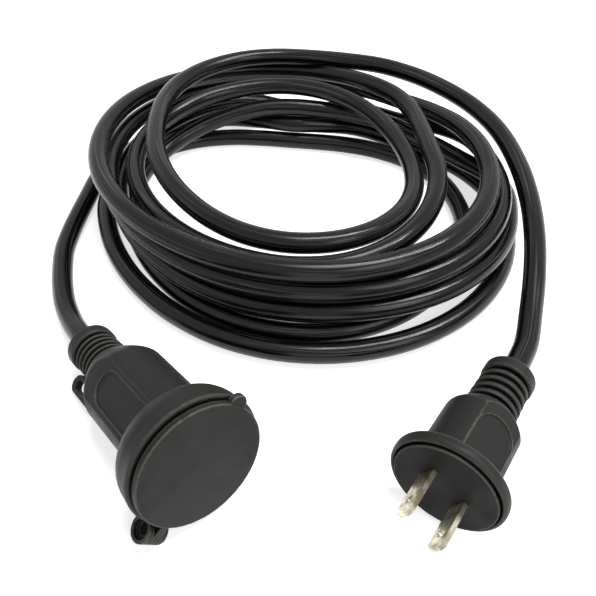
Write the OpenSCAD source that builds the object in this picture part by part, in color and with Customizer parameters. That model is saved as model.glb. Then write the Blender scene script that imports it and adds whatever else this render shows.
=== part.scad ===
// Outdoor extension cord: a two-slot socket with a hinged rain cap, a coil of round cord and a two-blade plug.
// Millimetres. +X runs along the socket from its cord to its cap, +Z is up, and the floor is Z = 0.
// The origin is on the floor, under the middle of the socket.

/* [Cord] */
// Diameter of the round cord
cord_d = 8.4; // [7.6:0.1:8.4]
// Diameter of each insulated core inside the cord
core_d = 2.8; // [2.2:0.1:3]
// Diameter of the copper in each core
copper_d = 1.8; // [1.2:0.1:1.9]
// Gap between a core and the hole that it runs in
core_fit = 0.05; // [0.02:0.01:0.1]

/* [Strain reliefs] */
// Length of the plain collar at the cord's end of each strain relief
collar_l = 5; // [3:0.5:7]
// Diameter of the collar
collar_d = 17.4; // [16:0.2:18]
// Number of ribs between the collar and the body
rib_n = 4; // [2:1:5]
// Width of the groove before each rib
groove_w = 1.3; // [0.9:0.1:1.5]
// Diameter of the groove next to the collar
groove_d = 12.8; // [12:0.2:14]
// Diameter of the groove next to the body
groove_end_d = 13.6; // [13:0.2:15]
// Height of the ribs above their grooves
rib_h = 1.8; // [1:0.1:1.9]
// Length of the socket's strain relief
socket_relief_l = 17.5; // [16:0.5:19]
// Length of the plug's strain relief
plug_relief_l = 20; // [18:0.5:21]

/* [Socket body] */
// Length of the socket from its cord entry to the rim of its cup
socket_l = 72.9; // [71:0.1:76]
// Width of the body across its rounded sides
body_w = 29.8; // [28:0.2:32]
// Thickness of the body between its flat faces
body_t = 25.4; // [24:0.2:27]
// Width of each flat face
flat_w = 17; // [15:0.5:20]
// Length of the body's shoulder at the cord's end
shoulder_l = 12; // [10:0.5:12]
// Rounding taken off the body's edges, from where its flat faces meet its sides
edge_off = 0.5; // [0.1:0.1:1]
// Diameter of the cup at its rim
cup_d = 43.4; // [43:0.2:46]
// Wall of the cup
cup_wall = 3; // [2.5:0.1:3.4]
// Length of the cup's outer wall, from the rounding of its bell to the rim
cup_wall_l = 4.5; // [4:0.1:6]
// Draft of that wall: how much smaller its radius is at the bell than at the rim
cup_draft = 0.4; // [0.1:0.1:0.8]
// Radius of the bell's rounding
bell_r = 11; // [9:0.5:12]
// Slope of the bell where it leaves the body, in degrees from the socket's length
bell_slope = 65; // [50:1:70]
// Depth of the cup in front of its contact carrier
cup_depth = 7.4; // [7.2:0.1:8]
// Diameter of the contact carrier's face
carrier_d = 30; // [28:0.5:31]
// Rounding of the cup's rim
rim_r = 0.9; // [0.6:0.1:1.4]
// Width of the sunk panel on the flat face
panel_w = 11.5; // [10:0.5:13]
// Length of the sunk panel
panel_l = 25; // [20:1:28]
// Depth of the sunk panels on the socket and the plug
panel_depth = 0.6; // [0.3:0.1:1]
// Gap between the cord's end of the panel and the strain relief
panel_gap = 14.3; // [12:0.5:16]
// Lean of the socket as it rests on its cup and the corner of its shoulder, in degrees
socket_lean = 10.2; // [9:0.2:10.6]
// Turn of the socket about its own length, in degrees
socket_turn = 40; // [38:1:41]

/* [Hanging loop] */
// Length of the hanging loop along the socket
loop_l = 13.5; // [12.5:0.5:14.5]
// Reach of the loop from the socket's axis
loop_reach = 15.6; // [14.6:0.2:15.6]
// Thickness of the loop
loop_t = 3; // [2.4:0.2:3]
// Length of the hole in the loop
loop_hole_l = 7.5; // [6:0.5:8]
// Width of the hole in the loop
loop_hole_w = 3.6; // [2.4:0.1:3.8]

/* [Cap and hinge] */
// How far the cap's edge lies inside the cup's edge
cap_inset = 1.2; // [0.7:0.1:1.6]
// Thickness of the cap
cap_t = 2.2; // [2:0.1:3]
// Rounding of the cap's outer edge
cap_edge_r = 0.3; // [0.2:0.1:1.2]
// Gap between the cup's rim and the cap
cap_gap = 0.9; // [0.5:0.1:1.1]
// Depth of the lip that the cap puts into the cup
lip_depth = 2.2; // [1:0.1:3]
// Wall of the lip
lip_wall = 1.8; // [1.2:0.1:2.5]
// Gap between the lip and the cup
lip_fit = 0.4; // [0.3:0.05:0.6]
// Distance of the hinge pin from the cup's wall
hinge_out = 2.8; // [2.7:0.1:3.3]
// Distance of the pin behind the cup's rim
hinge_back = 1.9; // [1.7:0.1:2.4]
// Diameter of the hinge's knuckles
knuckle_d = 8.4; // [7.6:0.2:8.6]
// Length of the cap's knuckle
knuckle_l = 2.4; // [2.2:0.1:3.4]
// Thickness of each ear on the cup
ear_t = 2.2; // [2:0.1:2.4]
// Gap between the knuckle and each ear
ear_gap = 0.25; // [0.2:0.05:0.4]
// Diameter of the hinge pin
pin_d = 3.2; // [2.5:0.1:3.4]
// Radial clearance of the knuckle on the pin
pin_clear = 0.06; // [0.03:0.01:0.09]
// Diameter of the wider mouth of the hole in each ear
ear_mouth_d = 6.2; // [5:0.1:6.6]
// Depth of that mouth
ear_mouth_depth = 1.5; // [0.3:0.1:1.6]
// How far the pull tab sticks out of the cap's edge
tab_out = 3.1; // [2.5:0.1:4.5]
// Width of the pull tab
tab_w = 6; // [5:0.5:9]
// Thickness of the pull tab
tab_t = 2; // [1.4:0.1:2.2]

/* [Contacts and blades] */
// Distance between the two blades
blade_pitch = 12.7; // [12.7:0.1:12.7]
// Width of a blade
blade_w = 6.3; // [6:0.1:6.6]
// Thickness of a blade
blade_t = 1.5; // [1.3:0.05:1.6]
// Length of a blade in front of the plug's rim
blade_l = 15.8; // [15:0.1:18]
// Diameter of the hole near a blade's tip
blade_hole_d = 3; // [2.5:0.1:3.2]
// Distance of that hole from the tip
blade_hole_back = 5; // [4:0.2:6]
// Depth of a blade inside the plug
blade_root_l = 12; // [10:0.5:13]
// Thickness of the contact's spring leaves
leaf_t = 0.6; // [0.4:0.05:0.7]
// Length of the contact's leaves
leaf_l = 18; // [16:0.5:18.5]
// Gap between a contact and its pocket
pocket_fit = 0.3; // [0.2:0.05:0.4]
// Thickness of the contact carrier's front wall
carrier_wall = 1.6; // [1.2:0.1:2]
// Gap between a slot's edge and the blade
slot_fit = 0.3; // [0.2:0.05:0.4]
// Wall of a crimp barrel
crimp_wall = 0.5; // [0.4:0.05:0.6]
// Length of a crimp barrel
crimp_l = 4; // [3:0.5:5]

/* [Plug] */
// Length of the plug from its cord entry to the rim of its flange
plug_l = 52.2; // [50:0.2:54]
// Width of the plug's body across its rounded sides
plug_w = 24.4; // [24:0.2:26]
// Thickness of the plug's body between its flat faces
plug_t = 21; // [20:0.2:22]
// Width of the plug's flat faces
plug_flat_w = 15; // [13:0.5:16]
// Length of its shoulder at the cord's end
plug_shoulder_l = 6; // [4:0.5:7]
// Diameter of the flange
flange_d = 36; // [35.2:0.2:36.4]
// Thickness of the flange
flange_t = 4.7; // [4.2:0.1:5]
// How far the round of the flange's rolled rim reaches back from its crest
rim_roll = 1.7; // [1:0.1:1.9]
// Width of the rolled rim round the plug's face
face_rim_w = 2; // [1.8:0.1:3]
// How far the face stands out from that rim's crest
face_out = 0.9; // [0.2:0.1:1.2]
// Width of the sunk panel on the plug's flat face
plug_panel_w = 13.4; // [11:0.2:14]
// Length of that panel
plug_panel_l = 17.5; // [15:0.5:18]
// Gap between the cord's end of that panel and the strain relief
plug_panel_gap = 7.2; // [6:0.2:7.6]
// Lean of the plug as it lies, in degrees
plug_lean = 3; // [2:0.5:4]
// Turn of the plug about its own length, in degrees
plug_turn = -32; // [-38:1:-26]

/* [Hidden] */
$fn = 64;
eps = 0.01;
left = 1;
right = -1;

// Where the socket's cord entry and the plug's cord entry are
socket_entry = [-38.5, 1.2, 9.35];
plug_entry = [69.9, 101.2, 15.6];
plug_heading = 285.2;

pvc = "#35363a";
hard_plastic = "#2b2b2d";
cord_black = "#202123";
white_core = "#d8d6cf";
black_core = "#1c1c1e";
metal = "#cfc8b8";
copper = "#b87345";

// ---- Socket: derived places along its length -------------------------------------------------
cup_r = cup_d / 2;
cup_bore_r = cup_r - cup_wall;
cup_root_r = cup_r - cup_draft;
cup_wall_x = socket_l - cup_wall_l;
carrier_x = socket_l - cup_depth;
carrier_disc_t = 4;
cap_x = socket_l + cap_gap;
cap_r = cup_r - cap_inset;
body_r = norm([flat_w, body_t]) / 2 - edge_off;
neck_r = groove_end_d / 2 + rib_h;

// ---- Cores: each runs at a slant from the cord's end to its contact or blade ----------------
core_y = core_d / 2 + 0.1;
core_start = 3;
core_sheath_l = 10;
crimp_at = core_sheath_l + 0.5;
crimp_d = copper_d + 2 * crimp_wall;
crimp_fit = 0.15;
tail_w = 1.6;
socket_cord_end_l = socket_relief_l + 5.5;
plug_cord_end_l = plug_relief_l + 3;
blade_root_x = plug_l - blade_root_l;

// ---- Contacts and their carrier: sizes that follow from the blades ---------------------------
contact_gap = blade_t + 0.1;
contact_size = [contact_gap + 2 * leaf_t, blade_w - 0.3];
pocket = [contact_size[0] + 2 * pocket_fit, contact_size[1] + 2 * pocket_fit];
slot = [blade_t + 2 * slot_fit, blade_w + 2 * slot_fit];
leaf_front_gap = 3.8;
contact_x = carrier_x - carrier_wall - leaf_front_gap - leaf_l;
carrier_back = contact_x - leaf_t - pocket_fit;
carrier_block_wall = 1.6;
carrier_block = [blade_pitch + pocket[0] + 2 * carrier_block_wall, pocket[1] + 2 * carrier_block_wall];

// ---- Hinge ----------------------------------------------------------------------------------
hinge_reach = cup_r + hinge_out;
hinge_l = knuckle_l + 2 * (ear_gap + ear_t);
knuckle_relief = 0.4;

// ---- Coil -----------------------------------------------------------------------------------
// Middle of the coil, its turn about that middle, and how much it is squeezed into an oval
coil_middle = [-66.5, 119];
coil_yaw = 50;
coil_oval = 0.06;
coil_sides = 6;
coil_rings = 24;
floor_lay = 4.2;
second_lay = 13.1;
third_lay = 22;
top_lay = 31;
// One row per change of course: [turns, angle, distance from the middle, height]
coil_course = [
  [0, 90, 91, 34], [0, 180, 60, 37], [0, 270, 65, top_lay], [1, 0, 53, 27],
  [1, 90, 63, 30.5], [1, 180, 71, 25], [1, 270, 73, 26], [2, 0, 62.5, top_lay],
  [2, 60, 81.5, 31], [2, 90, 94, 25], [2, 180, 86, 33], [2, 270, 80.5, top_lay],
  [3, 0, 85, 32], [3, 56, 87, 24], [3, 90, 99, 14], [3, 180, 83, 23.5],
  [3, 270, 81, third_lay], [4, 0, 92, 22.9], [4, 18, 92, 23], [4, 45, 87, 13.5],
  [4, 90, 76, 11], [4, 115, 77, 17], [4, 180, 80, 14.5], [4, 270, 83, second_lay],
  [5, 0, 97, 13.3], [5, 25, 78, 16], [5, 90, 57, 22], [5, 180, 76, floor_lay],
  [5, 270, 86, floor_lay], [5, 330, 80, floor_lay], [6, 0, 78, floor_lay], [6, 90, 54, floor_lay],
  [6, 180, 88, floor_lay], [6, 270, 95.5, floor_lay], [7, 0, 97, floor_lay], [7, 45, 77, 7.6],
  [7, 90, 55.5, second_lay], [7, 135, 88, floor_lay], [7, 180, 98, floor_lay]];

// ---- Routes of the free stretches, between the coil and the two entries ----------------------
plug_route = [
  [64.5, 118, 15.2], [58, 129, 16.5], [48, 144, 20.5], [36, 160, 23.5], [21.5, 176, 26], [4, 191.5, 28],
  [-17, 205, 30], [-38, 213, 31], [-59.5, 215.5, 32], [-81.5, 213, 33], [-103, 204.5, 33.6]];
socket_route = [
  [-58, 2.3, 5.8], [-72, 5.5, 4.8], [-89, 12.5, 4.2], [-104.5, 21.5, 4.2]];

// ---- Small helpers --------------------------------------------------------------------------
function unit(v) = v / norm(v);
function flat_list(lists) = [for (list = lists) each list];
function arc(centre, radius, from, to, steps = 6) =
  [for (i = [0:steps]) let (q = from + (to - from) * i / steps)
    [centre[0] + radius[0] * cos(q), centre[1] + radius[1] * sin(q)]];

// A solid of revolution about X, from a list of [distance along X, radius]
module turned(profile) {
  rotate([0, 90, 0])
    rotate_extrude()
      polygon([for (p = profile) [p[1], p[0]]]);
}

// A prism along X from x0 to x1, of a flat shape drawn in Y and Z
module prism(x0, x1) {
  translate([x0, 0, 0])
    rotate([90, 0, 90])
      linear_extrude(x1 - x0)
        children();
}

// A plate across Y, of a flat shape drawn in X and Z
module across(thick) {
  rotate([90, 0, 0])
    linear_extrude(thick, center = true)
      children();
}

// A block from x0 to x1, with its middle at [y, z]
module block(x0, x1, size, middle = [0, 0]) {
  translate([x0, middle[0] - size[0] / 2, middle[1] - size[1] / 2])
    cube([x1 - x0, size[0], size[1]]);
}

// A bar with two round ends, lying along X, of a given length and width
module stadium(length, width) {
  square([length - width, width], center = true);
  for (side = [left, right])
    translate([side * (length - width) / 2, 0])
      circle(d = width);
}

// The section of a moulded body: two flat faces and two bulged sides
module body_section(width, thick, flat) {
  bulge = (width - flat) / 2;
  radius = (pow(thick / 2, 2) + pow(bulge, 2)) / (2 * bulge);
  intersection() {
    square([width, thick], center = true);
    translate([width / 2 - radius, 0])
      circle(radius, $fn = 96);
    translate([radius - width / 2, 0])
      circle(radius, $fn = 96);
  }
}

// ---- Frames ---------------------------------------------------------------------------------
module at_socket() {
  translate(socket_entry)
    rotate([0, -socket_lean, 0])
      rotate([socket_turn, 0, 0])
        children();
}

module at_hinge() {
  at_socket()
    translate([socket_l - hinge_back, -hinge_reach, 0])
      children();
}

module at_plug() {
  translate(plug_entry)
    rotate([0, 0, plug_heading])
      rotate([0, -plug_lean, 0])
        rotate([plug_turn, 0, 0])
          children();
}

// ---- Strain reliefs -------------------------------------------------------------------------
function rib_pitch(length) = (length - collar_l - groove_w) / rib_n;
function groove_r(i) = (groove_d + (groove_end_d - groove_d) * i / rib_n) / 2;
function rib_profile(length, i) =
  let (x = collar_l + groove_w + rib_pitch(length) * i, end = x + rib_pitch(length) - groove_w,
    base = groove_r(i), top = groove_r(i + 0.5) + rib_h)
  [[x, base], [x + rib_edge, top - rib_edge], [x + 2 * rib_edge, top],
    [end - 2 * rib_edge, top], [end - rib_edge, top - rib_edge], [end, groove_r(i + 1)]];
rib_edge = 0.3;
collar_edge = 0.9;

module strain_relief(length) {
  turned(concat(
    [[0, cord_d / 2]],
    [[0, collar_d / 2 - collar_edge]],
    arc([collar_edge, collar_d / 2 - collar_edge], [collar_edge, collar_edge], 180, 90, 4),
    arc([collar_l - collar_edge, collar_d / 2 - collar_edge], [collar_edge, collar_edge], 90, 0, 4),
    [[collar_l, groove_r(0)]],
    flat_list([for (i = [0:rib_n - 1]) rib_profile(length, i)]),
    [[length, groove_r(rib_n)], [length, cord_d / 2]]));
}

// ---- Wires inside the two ends --------------------------------------------------------------
// Each core starts beside the middle and ends on its contact's line: start and end are places along X
function core_rise() = blade_pitch / 2 - core_y;
function core_slant(start, end) = atan(core_rise() / (end - start));
function core_run(start, end) = norm([end - start, core_rise()]);

module along_core(start, end, side) {
  translate([start, side * core_y, 0])
    rotate([0, 0, side * core_slant(start, end)])
      rotate([0, 90, 0])
        children();
}

module core_sheath(start, end, side) {
  along_core(start, end, side)
    difference() {
      cylinder(h = core_sheath_l, d = core_d);
      translate([0, 0, -eps])
        cylinder(h = core_sheath_l + 2 * eps, d = copper_d);
    }
}

module core_copper(start, end, side) {
  along_core(start, end, side)
    cylinder(h = crimp_at + crimp_l - crimp_wall, d = copper_d);
}

module core_hole(start, end, side) {
  along_core(start, end, side)
    translate([0, 0, -core_fit])
      cylinder(h = crimp_at - core_fit, d = core_d + 2 * core_fit);
  along_core(start, end, side)
    translate([0, 0, crimp_at - crimp_fit])
      cylinder(h = core_run(start, end) - crimp_at, d = crimp_d + 2 * crimp_fit);
}

// The crimp barrel, and the strip that joins it to its contact or blade
module crimp(start, end, side) {
  along_core(start, end, side)
    translate([0, 0, crimp_at])
      difference() {
        cylinder(h = crimp_l, d = crimp_d);
        translate([0, 0, -eps])
          cylinder(h = crimp_l - crimp_wall + eps, d = copper_d);
      }
  along_core(start, end, side)
    translate([-tail_w / 2, -crimp_wall / 2, crimp_at + crimp_l - crimp_wall / 2])
      cube([tail_w, crimp_wall, core_run(start, end) - crimp_at - crimp_l + crimp_wall / 2]);
}

module cord_end(length, end) {
  color(cord_black)
    difference() {
      prism(0, length)
        circle(d = cord_d);
      for (side = [left, right])
        core_hole(length - core_start, end, side);
    }
}

// ---- Socket ---------------------------------------------------------------------------------
socket_core_x = socket_cord_end_l - core_start;

function shoulder(x, length, from_r, to_r) =
  [for (i = [0:shoulder_steps]) let (t = i / shoulder_steps)
    [x + length * t, from_r + (to_r - from_r) * (1 - pow(1 - t, shoulder_bulge))]];
shoulder_steps = 8;
shoulder_bulge = 1.25;

module socket_shell() {
  intersection() {
    prism(socket_relief_l, cup_wall_x)
      body_section(body_w, body_t, flat_w);
    turned(concat(
      [[socket_relief_l, 0]],
      shoulder(socket_relief_l, shoulder_l, neck_r, body_r),
      [[cup_wall_x, body_r], [cup_wall_x, 0]]));
  }
  turned(concat(
    [[bell_x, 0], [bell_x, bell_start_r]],
    arc([cup_wall_x, cup_root_r - bell_r], [bell_r, bell_r], 90 + bell_slope, 90, 10),
    arc([socket_l - rim_r, cup_r - rim_r], [rim_r, rim_r], 90, 0, 4),
    [[socket_l, 0]]));
}
bell_start_r = body_t / 2 - 1;
bell_x = cup_wall_x - bell_r * sin(bell_slope)
  - (cup_root_r - bell_r * (1 - cos(bell_slope)) - bell_start_r) / tan(bell_slope);

module hanging_loop() {
  height = loop_reach - neck_r - loop_clear;
  translate([socket_relief_l - loop_back + loop_l / 2, -loop_reach + height / 2, 0])
    linear_extrude(loop_t, center = true)
      difference() {
        union() {
          stadium(loop_l, height);
          translate([loop_l / 2 - height / 2, -height / 2])
            square([loop_root_l, height]);
        }
        translate([loop_hole_l / 2 - loop_l / 2 + loop_rim, 0])
          stadium(loop_hole_l, loop_hole_w);
      }
}
loop_back = 12.8;
loop_turn = -3;
loop_clear = 0.3;
loop_root_l = 5;
loop_rim = 2.4;

module ears() {
  for (side = [left, right])
    translate([0, 0, side * (knuckle_l / 2 + ear_gap + ear_t / 2)]) {
      cylinder(h = ear_t, d = knuckle_d, center = true);
      translate([-knuckle_d / 2, 0, -ear_t / 2])
        cube([knuckle_d / 2, hinge_reach - cup_r + ear_root, ear_t]);
    }
}
ear_root = 1.5;

module socket_body() {
  color(pvc)
    difference() {
      union() {
        at_socket()
          socket_shell();
        at_socket()
          rotate([loop_turn, 0, 0])
            hanging_loop();
        at_hinge()
          ears();
      }
      at_socket() {
        prism(socket_relief_l - 1, socket_cord_end_l)
          circle(d = cord_d);
        for (side = [left, right])
          core_hole(socket_core_x, contact_x, side);
        block(carrier_back, carrier_x, carrier_block);
        prism(carrier_x - carrier_disc_t, carrier_x + 1)
          circle(d = carrier_d);
        prism(carrier_x, socket_l + 1)
          circle(cup_bore_r, $fn = 96);
        sunk_panel(socket_relief_l + panel_gap, body_t, panel_w, panel_l);
      }
      at_hinge() {
        cylinder(h = hinge_l + 1, d = pin_d, center = true);
        cylinder(h = knuckle_l + 2 * ear_gap, d = knuckle_d + 2 * knuckle_relief, center = true);
        for (side = [left, right])
          translate([0, 0, side * (hinge_l / 2 - ear_mouth_depth / 2 + 0.5)])
            cylinder(h = ear_mouth_depth + 1, d = ear_mouth_d, center = true);
      }
    }
}

// The room of a sunk panel that starts at x0 on a flat face, and is round at the cord's end
module sunk_panel(x0, thick, width, length) {
  translate([x0 + width / 2, 0, thick / 2 - panel_depth])
    linear_extrude(2 * panel_depth) {
      circle(d = width);
      translate([0, -width / 2])
        square([length - width / 2, width]);
    }
}

module socket_strain_relief() {
  color(pvc)
    at_socket()
      strain_relief(socket_relief_l);
}

module socket_cord_end() {
  at_socket()
    cord_end(socket_cord_end_l, contact_x);
}

module contact_carrier() {
  color(hard_plastic)
    at_socket()
      difference() {
        union() {
          block(carrier_back, carrier_x - carrier_disc_t + eps, carrier_block);
          prism(carrier_x - carrier_disc_t, carrier_x)
            circle(d = carrier_d);
        }
        for (side = [left, right]) {
          block(carrier_back - 1, carrier_x - carrier_wall, pocket, [side * blade_pitch / 2, 0]);
          block(carrier_x - carrier_wall - 1, carrier_x + 1, slot, [side * blade_pitch / 2, 0]);
        }
      }
}

module contact(side) {
  color(metal)
    at_socket() {
      crimp(socket_core_x, contact_x, side);
      difference() {
        block(contact_x - leaf_t, contact_x + leaf_l, contact_size, [side * blade_pitch / 2, 0]);
        block(contact_x, contact_x + leaf_l + 1, [contact_gap, contact_size[1] + 1],
          [side * blade_pitch / 2, 0]);
      }
    }
}
module contact_left() { contact(left); }
module contact_right() { contact(right); }

module socket_core(side) {
  color(side == left ? white_core : black_core)
    at_socket()
      core_sheath(socket_core_x, contact_x, side);
}
module socket_core_left() { socket_core(left); }
module socket_core_right() { socket_core(right); }

module socket_copper(side) {
  color(copper)
    at_socket()
      core_copper(socket_core_x, contact_x, side);
}
module socket_copper_left() { socket_copper(left); }
module socket_copper_right() { socket_copper(right); }

module hinge_pin() {
  color(hard_plastic)
    at_hinge()
      cylinder(h = hinge_l - 2 * ear_mouth_depth, d = pin_d, center = true);
}

// ---- Cap ------------------------------------------------------------------------------------
lip_r = cup_bore_r - lip_fit;
module cap() {
  color(pvc) {
    at_socket() {
      turned(concat(
        [[cap_x, 0], [cap_x, cap_r]],
        arc([cap_x + cap_t - cap_edge_r, cap_r - cap_edge_r], [cap_edge_r, cap_edge_r], 90, 0),
        [[cap_x + cap_t, 0]]));
      turned([[cap_x - lip_depth, lip_r - lip_wall], [cap_x - lip_depth, lip_r - lip_wall / 3],
        [cap_x - lip_depth / 2, lip_r], [cap_x + eps, lip_r], [cap_x + eps, lip_r - lip_wall]]);
      prism(cap_x, cap_x + tab_t)
        translate([cap_r + (tab_out - tab_root) / 2, 0])
          stadium(tab_out + tab_root, tab_w);
    }
    difference() {
      at_hinge() {
        cylinder(h = knuckle_l, d = knuckle_d, center = true);
        linear_extrude(knuckle_l, center = true)
          polygon([[arm_x, 0], [arm_x, arm_end], [arm_x + cap_t - arm_step, arm_end],
            [arm_x + cap_t - arm_step, arm_end - knuckle_root], knuckle_d / 2 * [cos(10), -sin(10)]]);
      }
      at_hinge()
        cylinder(h = knuckle_l + 1, d = pin_d + 2 * pin_clear, center = true);
    }
  }
}
tab_root = 6;
knuckle_root = 1.8;
arm_step = 0.2;
arm_x = hinge_back + cap_gap;
arm_end = hinge_reach - cap_r + knuckle_root;

// ---- Plug -----------------------------------------------------------------------------------
plug_core_x = plug_cord_end_l - core_start;
plug_body_r = norm([plug_flat_w, plug_t]) / 2 - edge_off / 2;
flange_x = plug_l - flange_t;
flange_r = flange_d / 2;
face_r = flange_r - face_rim_w;
rim_x = plug_l - face_out;

module plug_shell() {
  intersection() {
    prism(plug_relief_l, flange_x + 1)
      body_section(plug_w, plug_t, plug_flat_w);
    turned(concat(
      [[plug_relief_l, 0]],
      shoulder(plug_relief_l, plug_shoulder_l, neck_r, plug_body_r),
      [[flange_x + 1, plug_body_r], [flange_x + 1, 0]]));
  }
  turned(concat(
    [[flange_x - flange_fillet, 0], [flange_x - flange_fillet, fillet_start_r]],
    arc([flange_x - flange_fillet, fillet_start_r + flange_fillet], [flange_fillet, flange_fillet], 270, 360, 4),
    arc([flange_x + flange_back_r, flange_r - flange_back_r], [flange_back_r, flange_back_r], 180, 90),
    arc([rim_x - rim_roll, flange_r - face_rim_w / 2], [rim_roll, face_rim_w / 2], 90, -90, 14),
    [[rim_x - rim_roll, 0]]));
}
flange_back_r = 1;
flange_fillet = 4;
fillet_start_r = plug_t / 2 - 1;

module plug_body() {
  color(pvc)
    at_plug()
      difference() {
        plug_shell();
        prism(plug_relief_l - 1, plug_cord_end_l)
          circle(d = cord_d);
        for (side = [left, right]) {
          core_hole(plug_core_x, blade_root_x, side);
          block(blade_root_x - crimp_wall - root_room, bridge_x + 1,
            [blade_t + 2 * root_room, blade_w + 2 * root_room], [side * blade_pitch / 2, 0]);
        }
        block(bridge_x, plug_l, bridge_block);
        prism(plug_l - bridge_disc_t, plug_l)
          circle(face_r, $fn = 96);
        sunk_panel(plug_relief_l + plug_panel_gap, plug_t, plug_panel_w, plug_panel_l);
      }
}
root_room = 0.3;
bridge_disc_t = 4;
bridge_x = blade_root_x + 2;
bridge_block = [blade_pitch + blade_t + 3.6, blade_w + 3.6];

module plug_strain_relief() {
  color(pvc)
    at_plug()
      strain_relief(plug_relief_l);
}

module plug_cord_end() {
  at_plug()
    cord_end(plug_cord_end_l, blade_root_x);
}

module blade_bridge() {
  color(hard_plastic)
    at_plug()
      difference() {
        union() {
          block(bridge_x, plug_l - bridge_disc_t + eps, bridge_block);
          prism(plug_l - bridge_disc_t, plug_l)
            circle(face_r, $fn = 96);
        }
        for (side = [left, right])
          block(bridge_x - 1, plug_l + 1, [blade_t, blade_w], [side * blade_pitch / 2, 0]);
      }
}

module blade(side) {
  tip_x = plug_l + blade_l;
  color(metal)
    at_plug() {
      crimp(plug_core_x, blade_root_x, side);
      translate([0, side * blade_pitch / 2, 0])
        across(blade_t)
          difference() {
            polygon([[blade_root_x - crimp_wall, -blade_w / 2], [tip_x - tip_cut, -blade_w / 2],
              [tip_x, -blade_w / 2 + tip_cut], [tip_x, blade_w / 2 - tip_cut],
              [tip_x - tip_cut, blade_w / 2], [blade_root_x - crimp_wall, blade_w / 2]]);
            translate([tip_x - blade_hole_back, 0])
              circle(d = blade_hole_d);
          }
    }
}
tip_cut = 1.2;
module blade_left() { blade(left); }
module blade_right() { blade(right); }

module plug_core(side) {
  color(side == left ? white_core : black_core)
    at_plug()
      core_sheath(plug_core_x, blade_root_x, side);
}
module plug_core_left() { plug_core(left); }
module plug_core_right() { plug_core(right); }

module plug_copper(side) {
  color(copper)
    at_plug()
      core_copper(plug_core_x, blade_root_x, side);
}
module plug_copper_left() { plug_copper(left); }
module plug_copper_right() { plug_copper(right); }

// ---- Cord -----------------------------------------------------------------------------------
function heading(path, i) = unit(path[min(i + 1, len(path) - 1)] - path[max(i - 1, 0)]);
function ring(middle, along, sides) =
  let (side = unit(cross(along, [0, 0, 1])), up = cross(side, along))
  [for (k = [0:sides - 1]) let (q = 90 + 360 * k / sides)
    middle + cord_d / 2 * (cos(q) * side + sin(q) * up)];

module tube(path, sides) {
  last = len(path) - 1;
  walls = [for (i = [0:last - 1], k = [0:sides - 1])
    let (a = i * sides + k, b = i * sides + (k + 1) % sides)
    each [[a, b, b + sides], [a, b + sides, a + sides]]];
  first_end = [for (k = [1:sides - 2]) [0, k + 1, k]];
  last_end = [for (k = [1:sides - 2]) [last * sides, last * sides + k, last * sides + k + 1]];
  color(cord_black)
    polyhedron(
      points = flat_list([for (i = [0:last]) ring(path[i], heading(path, i), sides)]),
      faces = concat(walls, first_end, last_end));
}

// Where the coil is at a winding angle: each row of coil_course eases into the next
function course_angle(i) = 360 * coil_course[i][0] + coil_course[i][1];
function course_row(q, i = 0) = i < len(coil_course) - 2 && q >= course_angle(i + 1) ? course_row(q, i + 1) : i;
function coil_point(q) =
  let (i = course_row(q), from = coil_course[i], to = coil_course[i + 1],
    t = (q - course_angle(i)) / (course_angle(i + 1) - course_angle(i)), ease = (1 - cos(180 * t)) / 2,
    out = (from[2] + (to[2] - from[2]) * ease) * (1 - coil_oval * sin(2 * q)))
  [coil_middle[0] + out * cos(q + coil_yaw), coil_middle[1] + out * sin(q + coil_yaw),
    from[3] + (to[3] - from[3]) * ease];

coil_start_angle = course_angle(0);
coil_end_angle = course_angle(len(coil_course) - 1);
coil_turns = [for (q = [coil_start_angle:360 / coil_rings:coil_end_angle]) coil_point(q)];
coil_last = len(coil_turns) - 1;
coil_in = unit(coil_turns[1] - coil_turns[0]);
coil_out = unit(coil_turns[coil_last] - coil_turns[coil_last - 1]);
coil_start = coil_turns[0] - cord_d * coil_in;
coil_end = coil_turns[coil_last] + cord_d * coil_out;

// Least gap between two turns of the coil, measured on its points
coil_gap = min([for (i = [0:coil_last], j = [i + coil_rings / 2:1:coil_last])
  norm(coil_turns[i] - coil_turns[j])]) - cord_d;

module cord_coil() {
  echo(least_gap_of_the_coil_to_itself = coil_gap);
  tube(concat([coil_start], coil_turns, [coil_end]), coil_sides);
}

plug_way = [cos(plug_lean) * cos(plug_heading), cos(plug_lean) * sin(plug_heading), sin(plug_lean)];
socket_way = [cos(socket_lean), 0, sin(socket_lean)];
tail_sides = 8;

module cord_tail_plug() {
  tube(concat([plug_entry, plug_entry - cord_d * plug_way], plug_route,
    [coil_start - cord_d * coil_in, coil_start]), tail_sides);
}

module cord_tail_socket() {
  tube(concat([socket_entry, socket_entry - cord_d * socket_way], socket_route,
    [coil_end + cord_d * coil_out, coil_end]), tail_sides);
}

socket_body();
socket_strain_relief();
socket_cord_end();
contact_carrier();
contact_left();
contact_right();
socket_core_left();
socket_core_right();
socket_copper_left();
socket_copper_right();
hinge_pin();
cap();
plug_body();
plug_strain_relief();
plug_cord_end();
blade_bridge();
blade_left();
blade_right();
plug_core_left();
plug_core_right();
plug_copper_left();
plug_copper_right();
cord_tail_plug();
cord_coil();
cord_tail_socket();
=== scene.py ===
# %% [markdown]
# # An outdoor extension cord
#
# A black PVC cord lies in a loose coil. One end is a round two-slot socket under a hinged rain cap, and
# the other is a flanged plug with two flat blades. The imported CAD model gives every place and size. This
# script gives each visible piece its soft moulded edges and its real finish.

# %% Load the frame
import math

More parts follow.
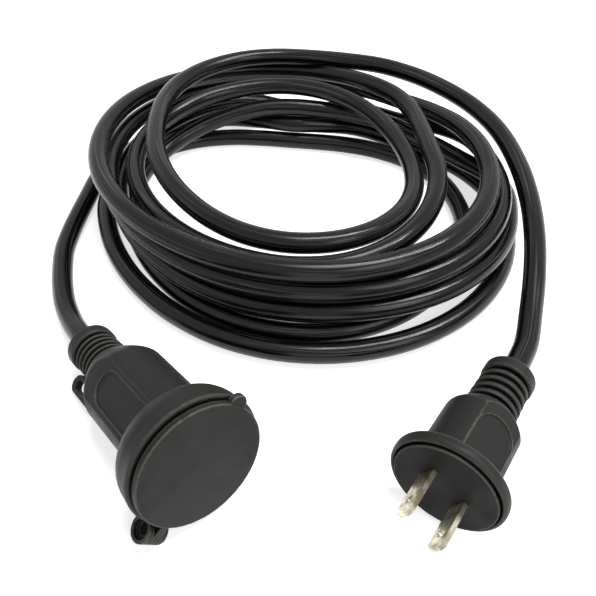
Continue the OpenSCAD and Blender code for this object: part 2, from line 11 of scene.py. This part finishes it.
import bpy
import numpy as np
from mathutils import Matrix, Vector


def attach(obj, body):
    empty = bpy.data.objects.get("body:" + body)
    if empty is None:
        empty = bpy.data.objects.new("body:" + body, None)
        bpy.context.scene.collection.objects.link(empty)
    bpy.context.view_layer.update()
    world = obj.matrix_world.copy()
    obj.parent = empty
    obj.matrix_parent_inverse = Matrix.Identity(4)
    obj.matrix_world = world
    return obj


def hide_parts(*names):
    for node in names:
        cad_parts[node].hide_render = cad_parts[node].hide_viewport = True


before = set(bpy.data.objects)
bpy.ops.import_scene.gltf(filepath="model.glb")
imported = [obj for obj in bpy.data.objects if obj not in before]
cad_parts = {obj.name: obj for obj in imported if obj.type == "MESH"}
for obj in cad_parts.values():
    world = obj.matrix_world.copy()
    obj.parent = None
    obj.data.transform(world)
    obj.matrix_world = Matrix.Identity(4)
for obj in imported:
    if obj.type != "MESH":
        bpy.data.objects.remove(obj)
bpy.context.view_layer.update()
MM = 0.001
print("the frame has", len(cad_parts), "nodes")

# %% [markdown]
# ## The camera
#
# The camera is 18 cm above the floor, in front of both ends, and looks down at the coil at 45 degrees. A
# real lens is set by its focal length, so the length in picture widths is turned into millimetres on the
# usual 36 mm sensor.

# %% Camera
CAMERA_AT = Vector((124.7, -37.5, 181.6)) * MM
CAMERA_HEADING = math.radians(140)
CAMERA_TILT = math.radians(44.63)
SENSOR_MM = 36
FOCAL_IN_WIDTHS = 1.052685
NEAREST_SEEN = 10 * MM

camera = bpy.data.objects.new("camera", bpy.data.cameras.new("camera"))
camera.data.sensor_width = SENSOR_MM
camera.data.lens = SENSOR_MM * FOCAL_IN_WIDTHS
camera.data.clip_start = NEAREST_SEEN
camera.location = CAMERA_AT
looking = Vector((math.cos(CAMERA_HEADING) * math.cos(CAMERA_TILT),
                  math.sin(CAMERA_HEADING) * math.cos(CAMERA_TILT),
                  -math.sin(CAMERA_TILT)))
camera.rotation_euler = looking.to_track_quat("-Z", "Y").to_euler()
bpy.context.scene.collection.objects.link(camera)
bpy.context.scene.camera = camera
bpy.context.scene.view_settings.view_transform = "Standard"
print("lens", round(camera.data.lens, 2), "mm")

# %% [markdown]
# ## The cord's route
#
# A round cord is one smooth tube along one line. The line leaves the socket, turns down to the floor, goes
# round the coil and ends in the plug. The two free stretches are short lists of points, and the coil is
# worked out from one row for each change of its course: how far the cord is from the middle, and how high
# it lies on the turns below it.

# %% Sizes and places of the cord, in millimetres
CORD_DIAMETER = 8.4
SOCKET_ENTRY = (-38.5, 1.2, 9.35)
SOCKET_LEAN = math.radians(10.2)
PLUG_ENTRY = (69.9, 101.2, 15.6)
PLUG_HEADING = math.radians(285.2)
PLUG_LEAN = math.radians(3)
INSIDE_THE_END = 3
FLOOR_LAY, SECOND_LAY, THIRD_LAY, TOP_LAY = 4.2, 13.1, 22, 31

socket_way = np.array((math.cos(SOCKET_LEAN), 0, math.sin(SOCKET_LEAN)))
plug_way = np.array((math.cos(PLUG_LEAN) * math.cos(PLUG_HEADING),
                     math.cos(PLUG_LEAN) * math.sin(PLUG_HEADING),
                     math.sin(PLUG_LEAN)))
SOCKET_ROUTE = [(-58, 2.3, 5.8), (-72, 5.5, 4.8), (-89, 12.5, 4.2), (-104.5, 21.5, 4.2)]
PLUG_ROUTE = [
    (64.5, 118, 15.2), (58, 129, 16.5), (48, 144, 20.5), (36, 160, 23.5), (21.5, 176, 26), (4, 191.5, 28),
    (-17, 205, 30), (-38, 213, 31), (-59.5, 215.5, 32), (-81.5, 213, 33), (-103, 204.5, 33.6)]

# %% The coil, one row for each change of course: turns, angle, distance from the middle, height
COIL_MIDDLE = (-66.5, 119)
COIL_YAW = 50
COIL_OVAL = 0.06
POINTS_PER_TURN = 24
COIL_COURSE = [
    (0, 90, 91, 34), (0, 180, 60, 37), (0, 270, 65, TOP_LAY), (1, 0, 53, 27),
    (1, 90, 63, 30.5), (1, 180, 71, 25), (1, 270, 73, 26), (2, 0, 62.5, TOP_LAY),
    (2, 60, 81.5, 31), (2, 90, 94, 25), (2, 180, 86, 33), (2, 270, 80.5, TOP_LAY),
    (3, 0, 85, 32), (3, 56, 87, 24), (3, 90, 99, 14), (3, 180, 83, 23.5),
    (3, 270, 81, THIRD_LAY), (4, 0, 92, 22.9), (4, 18, 92, 23), (4, 45, 87, 13.5),
    (4, 90, 76, 11), (4, 115, 77, 17), (4, 180, 80, 14.5), (4, 270, 83, SECOND_LAY),
    (5, 0, 97, 13.3), (5, 25, 78, 16), (5, 90, 57, 22), (5, 180, 76, FLOOR_LAY),
    (5, 270, 86, FLOOR_LAY), (5, 330, 80, FLOOR_LAY), (6, 0, 78, FLOOR_LAY), (6, 90, 54, FLOOR_LAY),
    (6, 180, 88, FLOOR_LAY), (6, 270, 95.5, FLOOR_LAY), (7, 0, 97, FLOOR_LAY), (7, 45, 77, 7.6),
    (7, 90, 55.5, SECOND_LAY), (7, 135, 88, FLOOR_LAY), (7, 180, 98, FLOOR_LAY)]


def coil_points():
    """The coil's line: each row of the course eases into the next."""
    turned = np.array([360 * row[0] + row[1] for row in COIL_COURSE], float)
    points = []
    for angle in np.arange(turned[0], turned[-1] + 0.1, 360 / POINTS_PER_TURN):
        row = min(np.searchsorted(turned, angle, side="right") - 1, len(COIL_COURSE) - 2)
        share = (angle - turned[row]) / (turned[row + 1] - turned[row])
        ease = (1 - math.cos(math.pi * share)) / 2
        start, end = COIL_COURSE[row], COIL_COURSE[row + 1]
        oval = 1 - COIL_OVAL * math.sin(math.radians(2 * angle))
        out = (start[2] + (end[2] - start[2]) * ease) * oval
        way = math.radians(angle + COIL_YAW)
        points.append((COIL_MIDDLE[0] + out * math.cos(way), COIL_MIDDLE[1] + out * math.sin(way),
                       start[3] + (end[3] - start[3]) * ease))
    return np.array(points)


coil = coil_points()
print("the coil has", len(coil), "points, one for each", 360 / POINTS_PER_TURN, "degrees")

# %% Join the stretches and smooth them into one line
SMOOTH_STEPS = 5
TINY = 1e-9


def lead(entry, way, route):
    """From just inside a moulded end, straight out, and along its free stretch."""
    entry = np.array(entry)
    straight = [entry + INSIDE_THE_END * way, entry, entry - CORD_DIAMETER * way]
    return np.array(straight + [np.array(point) for point in route], float)


def smoothed(knots):
    """A line that passes through every knot with no corner."""
    before = np.vstack([2 * knots[0] - knots[1], knots[:-1]])
    after = np.vstack([knots[1:], 2 * knots[-1] - knots[-2]])
    slopes = (after - before) / 2
    line = []
    for i in range(len(knots) - 1):
        span = np.linalg.norm(knots[i + 1] - knots[i])
        leave = slopes[i] / max(np.linalg.norm(slopes[i]), TINY) * span
        arrive = slopes[i + 1] / max(np.linalg.norm(slopes[i + 1]), TINY) * span
        for t in np.arange(SMOOTH_STEPS) / SMOOTH_STEPS:
            line.append((2 * t**3 - 3 * t**2 + 1) * knots[i] + (t**3 - 2 * t**2 + t) * leave
                        + (3 * t**2 - 2 * t**3) * knots[i + 1] + (t**3 - t**2) * arrive)
    return np.vstack([line, knots[-1]])


knots = np.vstack([lead(SOCKET_ENTRY, socket_way, SOCKET_ROUTE), coil[::-1],
                   lead(PLUG_ENTRY, plug_way, PLUG_ROUTE)[::-1]])
cord_line = smoothed(knots)
cord_line[:, 2] = np.maximum(cord_line[:, 2], CORD_DIAMETER / 2)
cord_line *= MM

# %% [markdown]
# ## The cord's tube
#
# The jacket is pushed out of a round die, which leaves fine lines along it. For the finish to know which
# way is along, each point of the tube stores where it is on the jacket: its place round the cord, and how
# far along it is. The rings are carried from one to the next without a twist.

# %% Build the tube
TUBE_SIDES = 28
TUBE_RADIUS = CORD_DIAMETER / 2 * MM


def new_piece(name, points, faces):
    """A mesh object with smooth faces."""
    mesh = bpy.data.meshes.new(name)
    mesh.from_pydata([tuple(p) for p in points], [], faces)
    mesh.polygons.foreach_set("use_smooth", [True] * len(mesh.polygons))
    piece = bpy.data.objects.new(name, mesh)
    bpy.context.scene.collection.objects.link(piece)
    return piece


def ring_sides(line):
    """Two directions across the line at each of its points, carried along without a twist."""
    ways = np.gradient(line, axis=0)
    ways /= np.linalg.norm(ways, axis=1)[:, None]
    side = np.cross(ways[0], (0, 0, 1))
    sides = []
    for way in ways:
        side = side - way * (side @ way)
        side = side / np.linalg.norm(side)
        sides.append(side)
    sides = np.array(sides)
    return sides, np.cross(sides, ways)


def tube(name, line, radius, sides):
    """A capped tube along a line, which stores its place on the jacket at each point."""
    across, up = ring_sides(line)
    angle = np.arange(sides) * 2 * math.pi / sides
    ring = np.cos(angle)[None, :, None] * across[:, None] + np.sin(angle)[None, :, None] * up[:, None]
    points = (line[:, None] + radius * ring).reshape(-1, 3)
    faces = [(a * sides + b, a * sides + (b + 1) % sides, (a + 1) * sides + (b + 1) % sides,
              (a + 1) * sides + b) for a in range(len(line) - 1) for b in range(sides)]
    last = (len(line) - 1) * sides
    faces += [tuple(range(sides))[::-1], tuple(range(last, last + sides))]
    piece = new_piece(name, points, faces)
    along = np.concatenate([[0], np.cumsum(np.linalg.norm(np.diff(line, axis=0), axis=1))])
    place = np.zeros((len(line), sides, 3), np.float32)
    place[..., 0] = radius * np.cos(angle)
    place[..., 1] = radius * np.sin(angle)
    place[..., 2] = along[:, None]
    jacket = piece.data.attributes.new("jacket", "FLOAT_VECTOR", "POINT")
    jacket.data.foreach_set("vector", place.ravel())
    return piece


cord = tube("cord", cord_line, TUBE_RADIUS, TUBE_SIDES)
print("the tube has", len(cord.data.polygons), "faces")

# %% [markdown]
# ## Moulded ends
#
# The socket and the plug are PVC, moulded over the wires, and the cap is moulded on its own. No edge of
# such a part is sharp: the mould's own corners are rounded by a few tenths of a millimetre. The CAD solids
# have the right shape with sharp edges, so each is turned into a fine even mesh, and a few passes of
# smoothing round its edges off.
#
# Outer edges are painted pale, partly as handling wear and partly as a painted highlight, and inner corners
# are painted dark as painted shade, and a finish can't tell them apart by itself. So each point of the even
# mesh stores how far it stands out from the points round it: above 0 on an outer edge, below 0 in a corner.
# Two more averages spread that over the width of the edge.

# %% Round the CAD solids off
VOXEL = 0.26 * MM
RIB_VOXEL = 0.22 * MM
SMOOTHING = 0.5
EDGE_SPREAD = 2


def mark_edges(mesh, spacing):
    """Stores on each point how sharply the surface turns there, as the attribute edge."""
    count = len(mesh.vertices)
    places, normals = np.empty(count * 3, np.float32), np.empty(count * 3, np.float32)
    mesh.vertices.foreach_get("co", places)
    mesh.vertices.foreach_get("normal", normals)
    places, normals = places.reshape(-1, 3), normals.reshape(-1, 3)
    ends = np.empty(len(mesh.edges) * 2, np.int32)
    mesh.edges.foreach_get("vertices", ends)
    one = np.concatenate([ends[::2], ends[1::2]])
    other = np.concatenate([ends[1::2], ends[::2]])
    neighbours = np.maximum(np.bincount(one, minlength=count), 1)

    def average(values):
        return np.bincount(one, weights=values[other], minlength=count) / neighbours

    middle = np.stack([average(places[:, k]) for k in range(3)], axis=1)
    turn = ((places - middle) * normals).sum(axis=1) / spacing
    for _ in range(EDGE_SPREAD):
        turn = (turn + average(turn)) / 2
    edge = mesh.attributes.new("edge", "FLOAT", "POINT")
    edge.data.foreach_set("value", turn.astype(np.float32))
    return turn


def moulded(name, nodes, rounds, voxel=VOXEL):
    """One soft-edged mesh in the place of some CAD nodes. More rounds give rounder edges."""
    points, faces = [], []
    for node in nodes:
        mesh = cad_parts[node].data
        faces += [tuple(len(points) + v for v in face.vertices) for face in mesh.polygons]
        points += [tuple(v.co) for v in mesh.vertices]
    rough = new_piece(name + "_rough", points, faces)
    remesh = rough.modifiers.new("even", "REMESH")
    remesh.mode = "VOXEL"
    remesh.voxel_size = voxel
    remesh.use_smooth_shade = True
    smooth = rough.modifiers.new("round", "SMOOTH")
    smooth.factor = SMOOTHING
    smooth.iterations = rounds
    shown = rough.evaluated_get(bpy.context.evaluated_depsgraph_get())
    piece = bpy.data.objects.new(name, bpy.data.meshes.new_from_object(shown))
    bpy.context.scene.collection.objects.link(piece)
    bpy.data.objects.remove(rough)
    piece.data.polygons.foreach_set("use_smooth", [True] * len(piece.data.polygons))
    turn = mark_edges(piece.data, voxel)
    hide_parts(*nodes)
    print(name, "has", len(piece.data.polygons), "faces, and turns by",
          np.percentile(turn, [1, 50, 99]).round(2))
    return piece


socket_shell = moulded("socket_shell", ["socket_body"], rounds=2)
socket_ribs = moulded("socket_ribs", ["socket_strain_relief"], rounds=2, voxel=RIB_VOXEL)
rain_cap = moulded("rain_cap", ["cap"], rounds=1)
plug_shell = moulded("plug_shell", ["plug_body"], rounds=3)
plug_ribs = moulded("plug_ribs", ["plug_strain_relief"], rounds=2, voxel=RIB_VOXEL)
plug_face = moulded("plug_face", ["blade_bridge"], rounds=2)

# %% [markdown]
# ## Blades
#
# Each blade is cut from brass strip, pressed flat and nickel plated. The press leaves its edges slightly
# round, so a small bevel goes on the CAD solid's edges. Only edges that turn by more than 40 degrees get
# it, so the hole's round wall stays as it is and its rim gets a bevel.

# %% Bevel the blades
METAL_BEVEL = 0.22 * MM
BEVEL_STEPS = 3
SHARP_EDGE = math.radians(40)
for node in ["blade_left", "blade_right"]:
    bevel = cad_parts[node].modifiers.new("pressed edge", "BEVEL")
    bevel.width = METAL_BEVEL
    bevel.segments = BEVEL_STEPS
    bevel.limit_method = "ANGLE"
    bevel.angle_limit = SHARP_EDGE
    bevel.harden_normals = True
print("the blades' edges are rounded by", round(METAL_BEVEL / MM, 2), "mm")

# %% [markdown]
# ## Node helpers
#
# A finish is a small network of nodes. One function adds a node with its settings and its links, and
# another turns a colour as it is written in hex into the linear light that Blender works in. Three more are
# shared by the finishes. One fades a number from one range into another, one mixes two colours by a share,
# and one gives the low and the high side of a pattern each its own colour.

# %% Helpers for the finishes
MIX_BELOW, MIX_ABOVE, MIX_COLOUR = 6, 7, 2


def linear(hex_colour):
    """sRGB hex to the linear colour that a shader takes."""
    parts = [int(hex_colour[i:i + 2], 16) / 255 for i in (1, 3, 5)]
    return [p / 12.92 if p <= 0.04045 else ((p + 0.055) / 1.055) ** 2.4 for p in parts] + [1]


def add_node(tree, kind, settings=None, links=None):
    """Adds a node. Settings name inputs or properties, and links name the input that an output goes to."""
    node = tree.nodes.new(kind)
    for name, value in (settings or {}).items():
        if name in node.inputs:
            node.inputs[name].default_value = value
        else:
            setattr(node, name, value)
    for name, output in (links or {}).items():
        tree.links.new(output, node.inputs[name])
    return node


def new_finish(name, colour, roughness, **settings):
    """A material with its main shader, ready for its pattern."""
    finish = bpy.data.materials.new(name)
    finish.use_nodes = True
    shader = finish.node_tree.nodes["Principled BSDF"]
    shader.inputs["Base Color"].default_value = linear(colour)
    shader.inputs["Roughness"].default_value = roughness
    for setting, value in settings.items():
        socket = setting.replace("_", " ").title().replace("Ior", "IOR")
        shader.inputs[socket].default_value = value
    return finish, finish.node_tree, shader


def faded(tree, value, start, end):
    """Turns the range start of a number into the range end. Past either end it stays level."""
    fade = add_node(tree, "ShaderNodeMapRange", {"From Min": start[0], "From Max": start[1],
                    "To Min": end[0], "To Max": end[1]}, {"Value": value})
    return fade.outputs["Result"]


def mixed(tree, share, below, above):
    """A colour between two others, by a share from 0 to 1. Mix has its colour sockets after the others."""
    blend = add_node(tree, "ShaderNodeMix", {"data_type": "RGBA"}, {"Factor": share})
    for socket, colour in ((MIX_BELOW, below), (MIX_ABOVE, above)):
        if isinstance(colour, str):
            blend.inputs[socket].default_value = linear(colour)
        else:
            tree.links.new(colour, blend.inputs[socket])
    return blend.outputs[MIX_COLOUR]


def two_tone(tree, value, places, colours):
    """One colour below the first place of a number, another above the second, and a blend between."""
    ramp = add_node(tree, "ShaderNodeValToRGB", {}, {"Fac": value})
    for step, place, colour in zip(ramp.color_ramp.elements, places, colours):
        step.position = place
        step.color = linear(colour)
    return ramp.outputs["Color"]


def give(finish, *pieces):
    """Puts a finish on pieces as their only material."""
    for piece in pieces:
        piece.data.materials.clear()
        piece.data.materials.append(finish)


# %% [markdown]
# ## Moulded PVC
#
# Soft PVC comes out of a spark-eroded mould with a fine matte grain. Such a skin gives back little gloss,
# less than the 4 % of a polished plastic, so its specular level is low and it looks charcoal and not wet.
# Its edges are painted paler where the surface turns outwards, partly as handling wear and partly as a
# painted highlight, and its inner corners are painted dark as painted shade. Grooves, the gaps between ribs
# and holes get
# painted shade too: a node that measures how much of the sky each point sees darkens the colour there. The
# real grain is about a tenth of a millimetre. It is drawn at a third of one, so that it shows.

# %% Finish of the moulded ends
GLOSS = 0.16
NOISE_SPAN = (0.3, 0.7)
NONE_TO_ALL = (0.0, 1.0)

GRAIN_MM = 0.35
GRAIN_STRENGTH = 0.35
MOTTLE_MM = 7
ROUGHER = (-0.08, 0.1)

# Outer edges are painted paler (wear and painted highlight), and corners and recesses get painted shade.
OUTER_EDGE = (0.015, 0.1)
OUTER_SHARE = (0.0, 0.8)
SHADED_CORNER = (-0.04, -0.2)
WORN_EDGE_AND_HIGHLIGHT = "#585a54"
PAINTED_SHADE = "#050505"

SHADE_REACH_MM = 2.5
SHADE_SAMPLES = 8
SKY_SEEN = (0.35, 0.8)


def moulded_pvc(name, colour, roughness, grain_depth_mm, gloss=GLOSS):
    """A matte moulded skin with pale edges, partly wear and partly painted highlight, and painted shade in
    its corners and grooves.
    """
    finish, tree, shader = new_finish(name, colour, roughness, specular_ior_level=gloss)
    place = add_node(tree, "ShaderNodeTexCoord").outputs["Object"]
    grain = add_node(tree, "ShaderNodeTexNoise",
                     {"Scale": 1 / (GRAIN_MM * MM), "Detail": 2.0, "Roughness": 0.6}, {"Vector": place})
    mottle = add_node(tree, "ShaderNodeTexNoise", {"Scale": 1 / (MOTTLE_MM * MM), "Detail": 4.0},
                      {"Vector": place})
    bump = add_node(tree, "ShaderNodeBump", {"Strength": GRAIN_STRENGTH, "Distance": grain_depth_mm * MM},
                    {"Height": grain.outputs["Fac"]})
    tree.links.new(bump.outputs["Normal"], shader.inputs["Normal"])
    patchy = faded(tree, mottle.outputs["Fac"], NOISE_SPAN, [roughness + more for more in ROUGHER])
    tree.links.new(patchy, shader.inputs["Roughness"])
    turn = add_node(tree, "ShaderNodeAttribute", {"attribute_name": "edge"}).outputs["Fac"]
    sky_shade = add_node(tree, "ShaderNodeAmbientOcclusion",
                      {"Distance": SHADE_REACH_MM * MM, "samples": SHADE_SAMPLES})
    # Painted highlight and wear: the colour turns paler on outer edges.
    wear_highlight_and_shade = mixed(tree, faded(tree, turn, OUTER_EDGE, OUTER_SHARE), colour, WORN_EDGE_AND_HIGHLIGHT)
    # Painted shade: the colour turns near black in inner corners.
    wear_highlight_and_shade = mixed(tree, faded(tree, turn, SHADED_CORNER, NONE_TO_ALL), wear_highlight_and_shade, PAINTED_SHADE)
    # Painted shade: points that see little sky turn near black.
    wear_highlight_and_shade = mixed(tree, faded(tree, sky_shade.outputs["AO"], SKY_SEEN, NONE_TO_ALL), PAINTED_SHADE, wear_highlight_and_shade)
    tree.links.new(wear_highlight_and_shade, shader.inputs["Base Color"])
    return finish


body_pvc = moulded_pvc("matte moulded PVC", "#222321", 0.5, 0.04)
# The plug face is the same PVC painted darker: painted shade for a face turned down, away from the light.
shaded_face_pvc = moulded_pvc("matte moulded PVC, plug face in painted shade", "#171817", 0.6, 0.05, 0.15)
give(body_pvc, socket_shell, socket_ribs, rain_cap, plug_shell, plug_ribs)
give(shaded_face_pvc, plug_face)
print("the ends have", body_pvc.name, "and", shaded_face_pvc.name)

# %% [markdown]
# ## The cord's jacket
#
# The same PVC, pushed through a polished die, is glossier. The die draws fine lines along the jacket, less
# than a millimetre apart. They break each reflection up into thin bright streaks that follow the cord. Where
# a line stands proud it is painted grey, partly as rub and partly as a painted highlight streak along the
# line. The pattern is a noise in the jacket's own places, stretched about eighty times along the cord.

# %% Finish of the cord
LINE_MM = 0.7
STRETCH = 0.012
LINE_DEPTH_MM = 0.12
LINE_STRENGTH = 0.8
JACKET_GLOSS = 0.26
JACKET_NOISE = (0.35, 0.65)
JACKET_ROUGHNESS = (0.13, 0.3)
RUB_AND_SHEEN_LINES = (0.56, 0.74)
JACKET_BLACK = "#040504"
JACKET_RUB_AND_SHEEN_GREY = "#484b46"


def extruded_pvc():
    """A satin black skin with fine lines along it."""
    finish, tree, shader = new_finish("satin extruded PVC", JACKET_BLACK, JACKET_ROUGHNESS[1],
                                      specular_ior_level=JACKET_GLOSS)
    jacket = add_node(tree, "ShaderNodeAttribute", {"attribute_name": "jacket"}).outputs["Vector"]
    lines = add_node(tree, "ShaderNodeVectorMath", {"operation": "MULTIPLY"})
    tree.links.new(jacket, lines.inputs[0])
    lines.inputs[1].default_value = (1, 1, STRETCH)
    streaks = add_node(tree, "ShaderNodeTexNoise",
                       {"Scale": 1 / (LINE_MM * MM), "Detail": 2.0, "Roughness": 0.55},
                       {"Vector": lines.outputs["Vector"]}).outputs["Fac"]
    bump = add_node(tree, "ShaderNodeBump", {"Strength": LINE_STRENGTH, "Distance": LINE_DEPTH_MM * MM},
                    {"Height": streaks})
    tree.links.new(bump.outputs["Normal"], shader.inputs["Normal"])
    tree.links.new(faded(tree, streaks, JACKET_NOISE, JACKET_ROUGHNESS), shader.inputs["Roughness"])
    # Painted highlight and rub: the proudest lines of the jacket turn grey.
    rub_and_sheen_lines = two_tone(tree, streaks, RUB_AND_SHEEN_LINES, (JACKET_BLACK, JACKET_RUB_AND_SHEEN_GREY))
    tree.links.new(rub_and_sheen_lines, shader.inputs["Base Color"])
    return finish


cord_pvc = extruded_pvc()
give(cord_pvc, cord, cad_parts["socket_cord_end"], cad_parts["plug_cord_end"])
print("the cord has", cord_pvc.name)

# %% [markdown]
# ## Metals
#
# The blades are brass with a thin nickel plating, which is a warm pale grey. Rolling the strip leaves a fine
# unevenness, and handling dulls it in patches a few millimetres wide. Where it is dull it is also darker
# and rougher. The contacts are the same strip without the plating, and the wires are copper strands.

# %% Finishes of the metals
METAL = 0.85
STRIP_DEPTH_MM = 0.02
STRIP_STRENGTH = 0.2
PATCH_MM = 4
STAINED_TO_CLEAN = (0.38, 0.6)
DULLER = (0.12, -0.05)


def rolled_metal(name, colour, stain, roughness, line_mm):
    """A rolled metal that is stained and dulled in patches."""
    finish, tree, shader = new_finish(name, colour, roughness, metallic=METAL)
    place = add_node(tree, "ShaderNodeTexCoord").outputs["Object"]
    lines = add_node(tree, "ShaderNodeTexNoise", {"Scale": 1 / (line_mm * MM), "Detail": 2.0},
                     {"Vector": place})
    patches = add_node(tree, "ShaderNodeTexNoise",
                       {"Scale": 1 / (PATCH_MM * MM), "Detail": 5.0, "Roughness": 0.65},
                       {"Vector": place}).outputs["Fac"]
    bump = add_node(tree, "ShaderNodeBump", {"Strength": STRIP_STRENGTH, "Distance": STRIP_DEPTH_MM * MM},
                    {"Height": lines.outputs["Fac"]})
    tree.links.new(bump.outputs["Normal"], shader.inputs["Normal"])
    tree.links.new(two_tone(tree, patches, STAINED_TO_CLEAN, (stain, colour)), shader.inputs["Base Color"])
    dull = faded(tree, patches, NOISE_SPAN, [roughness + more for more in DULLER])
    tree.links.new(dull, shader.inputs["Roughness"])
    return finish


nickel = rolled_metal("nickel-plated brass", "#d8d2bf", "#7a7058", 0.26, 0.3)
brass = rolled_metal("rolled brass", "#c9a860", "#9a7a3c", 0.3, 0.3)
copper = rolled_metal("copper strand", "#b87345", "#8a4f2e", 0.35, 0.2)
print("the metals are", nickel.name, "and", brass.name, "and", copper.name)

# %% [markdown]
# ## Hidden parts
#
# The insert that holds the contacts is hard black plastic. The hinge pin gets the same black finish with
# almost no gloss, so that it renders dark down in its hole. The two cores are soft PVC, one white and one
# black. These pieces keep the CAD's shape.

# %% Finishes of the hidden parts
hard_plastic = moulded_pvc("hard black plastic", "#0a0a0a", 0.6, 0.02, 0.06)
white_core = moulded_pvc("white core PVC", "#d8d6cf", 0.4, 0.01)
black_core = moulded_pvc("black core PVC", "#1c1c1e", 0.4, 0.01)

FINISH_OF_NODE = {
    "contact_carrier": hard_plastic, "contact_left": brass, "contact_right": brass, "hinge_pin": hard_plastic,
    "blade_left": nickel, "blade_right": nickel}
for end in ["socket", "plug"]:
    FINISH_OF_NODE[end + "_core_left"] = white_core
    FINISH_OF_NODE[end + "_core_right"] = black_core
    FINISH_OF_NODE[end + "_copper_left"] = copper
    FINISH_OF_NODE[end + "_copper_right"] = copper
for node, finish in FINISH_OF_NODE.items():
    give(finish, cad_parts[node])
print(len(FINISH_OF_NODE), "CAD nodes keep their own shape")

# %% [markdown]
# ## What moves with what
#
# The cap swings on its pin. Everything else lies still with the coil.

for piece in [cord, socket_shell, socket_ribs, plug_shell, plug_ribs, plug_face]:
    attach(piece, "cord_and_socket")
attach(rain_cap, "cap")
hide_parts("cord_tail_socket", "cord_coil", "cord_tail_plug")

# %% [markdown]
# ## Floor and light
#
# Black rubber shows its shape only by what it reflects. So the sky is dim all round, and one long, narrow
# lamp over the coil draws thin highlights along the cord. A second, weaker lamp lights the plug's side. The
# level is plain: a mid grey comes out as about that grey. The floor looks white, because the camera and
# glossy skins see it lifted a little, and it keeps a soft shadow.

# %% Floor
FLOOR_REACH = 6
FLOOR_WHITE = "#f2f2f1"
FLOOR_LIFT = 0.7


def if_seen(tree, seen, unseen):
    """One number for rays from the camera, off gloss or through glass, and another for the rest."""
    path = add_node(tree, "ShaderNodeLightPath")
    share = path.outputs["Is Camera Ray"]
    for kind in ("Is Glossy Ray", "Is Transmission Ray"):
        either = add_node(tree, "ShaderNodeMath", {"operation": "MAXIMUM"})
        tree.links.new(share, either.inputs[0])
        tree.links.new(path.outputs[kind], either.inputs[1])
        share = either.outputs[0]
    return faded(tree, share, NONE_TO_ALL, (unseen, seen))


corners = [(-1, -1), (1, -1), (1, 1), (-1, 1)]
floor = new_piece("floor", [(x * FLOOR_REACH, y * FLOOR_REACH, 0) for x, y in corners], [(0, 1, 2, 3)])
paper, tree, shader = new_finish("white paper sweep", FLOOR_WHITE, 0.9, specular_ior_level=0.1)
shader.inputs["Emission Color"].default_value = (1, 1, 1, 1)
tree.links.new(if_seen(tree, FLOOR_LIFT, 0), shader.inputs["Emission Strength"])
give(paper, floor)
print("the floor is", 2 * FLOOR_REACH, "m wide")

# %% World and lamps: name, place and size in metres, power in watts
SKY = 0.24
LIT_PLACE = Vector((-0.03, 0.1, 0))
LAMPS = [("over the coil", (0.17, 0.42, 1.05), (0.11, 0.9), 13.5),
         ("beside the plug", (0.7, 0.1, 0.55), (0.4, 0.4), 1.8)]


def soft_lamp(name, at, size, power):
    """A lamp in a soft box that faces the coil."""
    lamp = bpy.data.objects.new(name, bpy.data.lights.new(name, "AREA"))
    lamp.data.shape = "RECTANGLE"
    lamp.data.size, lamp.data.size_y = size
    lamp.data.energy = power
    lamp.location = at
    lamp.rotation_euler = (LIT_PLACE - Vector(at)).to_track_quat("-Z", "Y").to_euler()
    bpy.context.scene.collection.objects.link(lamp)


world = bpy.data.worlds.new("studio")
bpy.context.scene.world = world
world.use_nodes = True
sky = world.node_tree.nodes["Background"]
sky.inputs["Color"].default_value = (1, 1, 1, 1)
world.node_tree.links.new(if_seen(world.node_tree, 1, SKY), sky.inputs["Strength"])
for name, at, size, power in LAMPS:
    soft_lamp(name, at, size, power)
print(len(LAMPS), "lamps of", sum(lamp[3] for lamp in LAMPS), "W in all")
